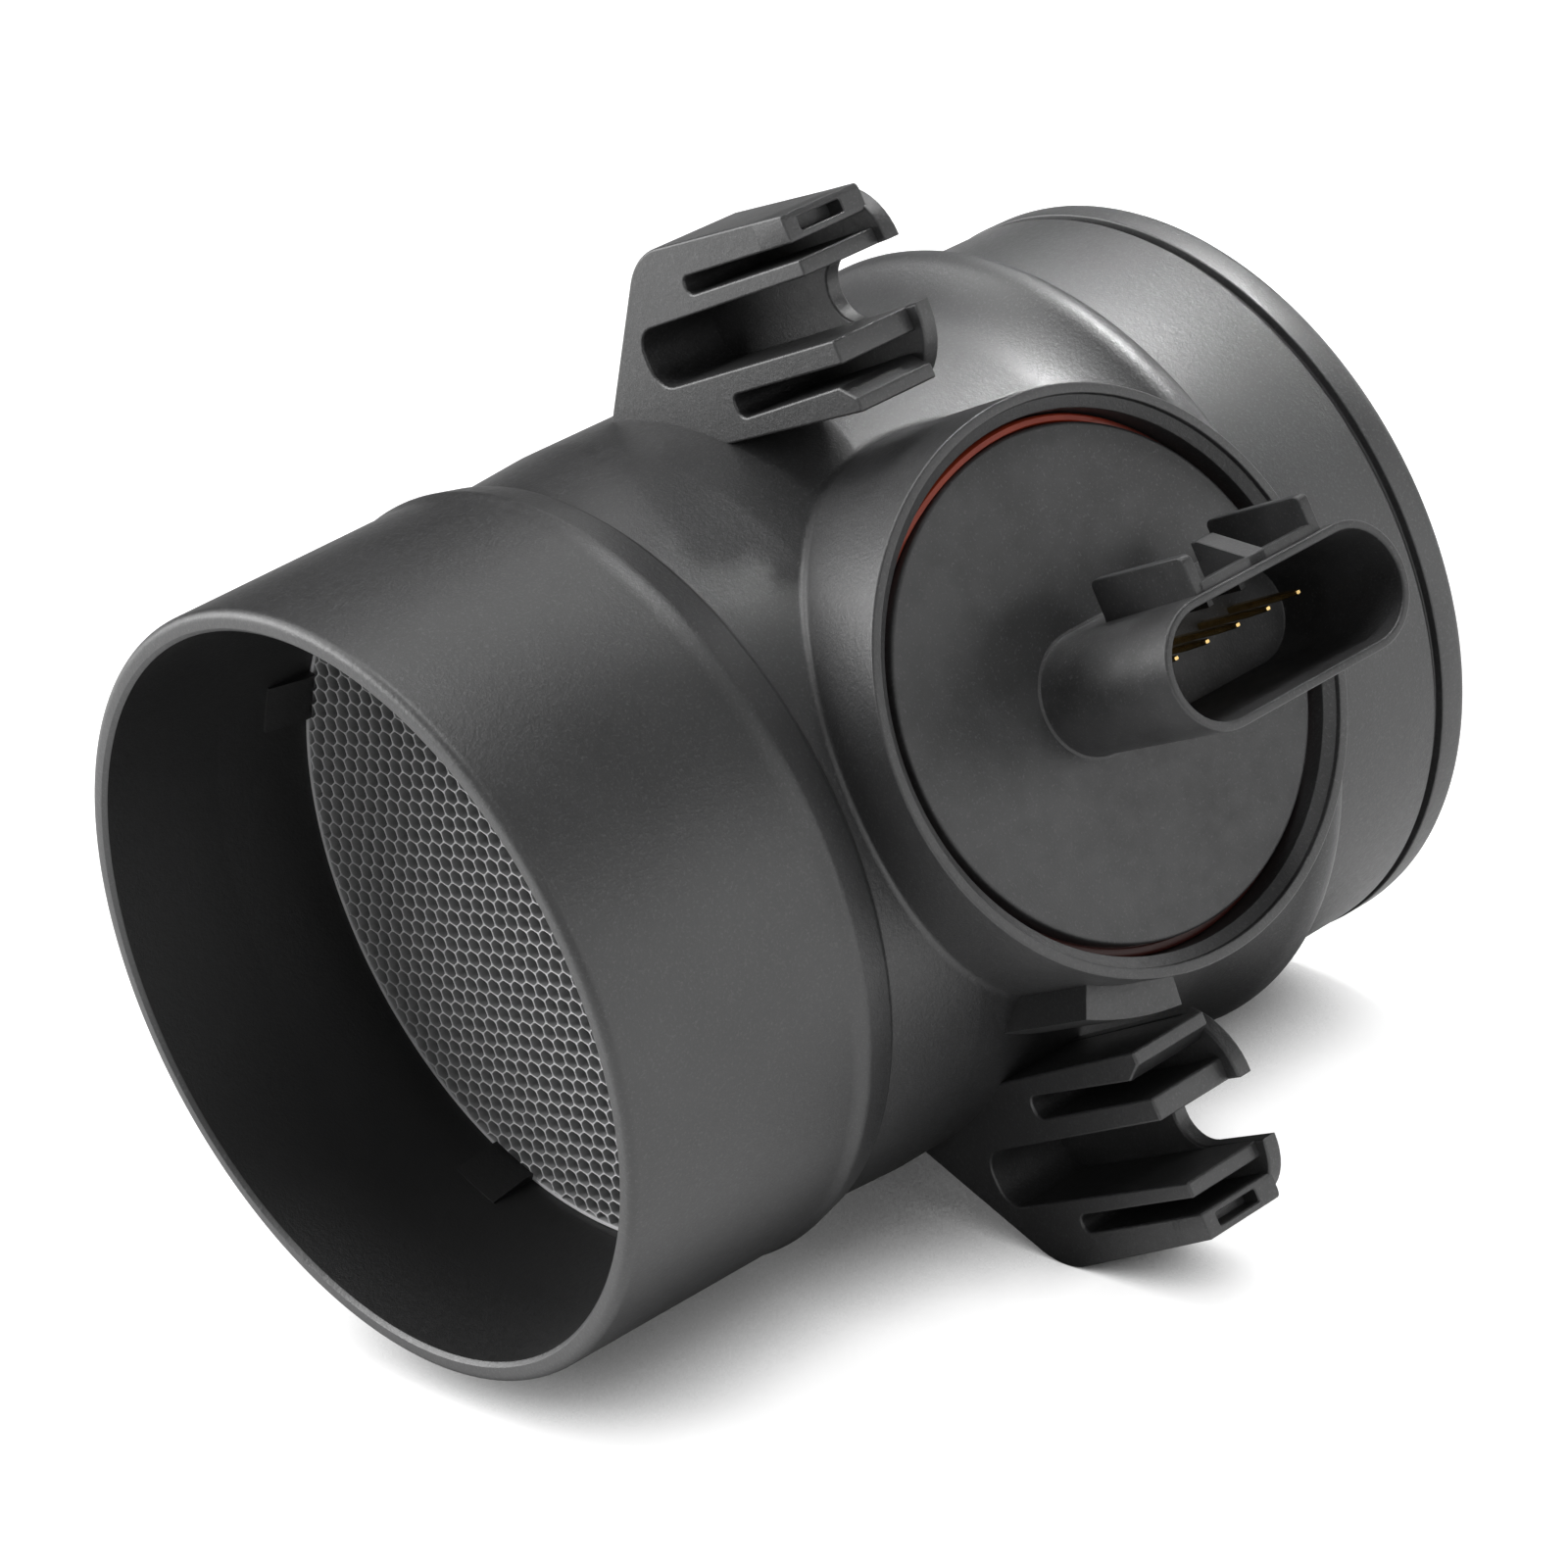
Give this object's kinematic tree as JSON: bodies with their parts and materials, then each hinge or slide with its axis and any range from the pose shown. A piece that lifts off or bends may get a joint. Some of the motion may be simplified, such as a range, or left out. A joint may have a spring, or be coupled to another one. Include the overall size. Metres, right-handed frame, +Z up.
{
  "type": "mass airflow sensor",
  "caption": "Round moulded air duct with a honeycomb at its inlet, a sensing puck with an oval connector on its side, and a fork bracket above and below the puck.",
  "frame": {"origin": "centre of the duct's inlet mouth, on the duct's axis", "axes": "+X along the duct's axis, the way the air flows. +Z up as the part lies on a table. The puck and its connector look towards -Y, tipped up by about 20 degrees."},
  "size_m": [0.1448, 0.1355, 0.1369],
  "materials": {
    "housing_plastic": "moulded black-grey plastic with a fine matte grain",
    "cover_plastic": "moulded charcoal plastic, cloudy, slightly glossier on the connector",
    "bypass_plastic": "moulded black plastic",
    "seal_rubber": "orange-red silicone rubber",
    "honeycomb_foil": "thin bare metal foil",
    "pin_gold": "gold plate",
    "prong_steel": "bright nickel plate",
    "plate_aluminium": "bare rolled sheet",
    "board_laminate": "green solder mask",
    "chip_case": "black moulding compound",
    "capacitor_ceramic": "tan ceramic with tinned ends",
    "film_ceramic": "white ceramic film chip",
    "bead_glass": "dark glass bead"
  },
  "bodies": {
    "root": {"air_thermistor": "bead_glass", "bypass_duct": "bypass_plastic", "capacitor_1": "capacitor_ceramic", "capacitor_2": "capacitor_ceramic", "capacitor_3": "capacitor_ceramic", "circuit_board": "board_laminate", "connector_cover": "cover_plastic", "cover_seal": "seal_rubber", "flow_straightener": "honeycomb_foil", "heated_element": "film_ceramic", "heated_prong_lower": "prong_steel", "heated_prong_upper": "prong_steel", "heater_transistor": "chip_case", "module_base_plate": "plate_aluminium", "reference_element": "film_ceramic", "reference_prong_lower": "prong_steel", "reference_prong_upper": "prong_steel", "sensor_housing": "housing_plastic", "signal_chip": "chip_case", "terminal_pin_1": "pin_gold", "terminal_pin_2": "pin_gold", "terminal_pin_3": "pin_gold", "terminal_pin_4": "pin_gold", "terminal_pin_5": "pin_gold", "thermistor_prong_lower": "prong_steel", "thermistor_prong_upper": "prong_steel"}
  },
  "joints": []
}
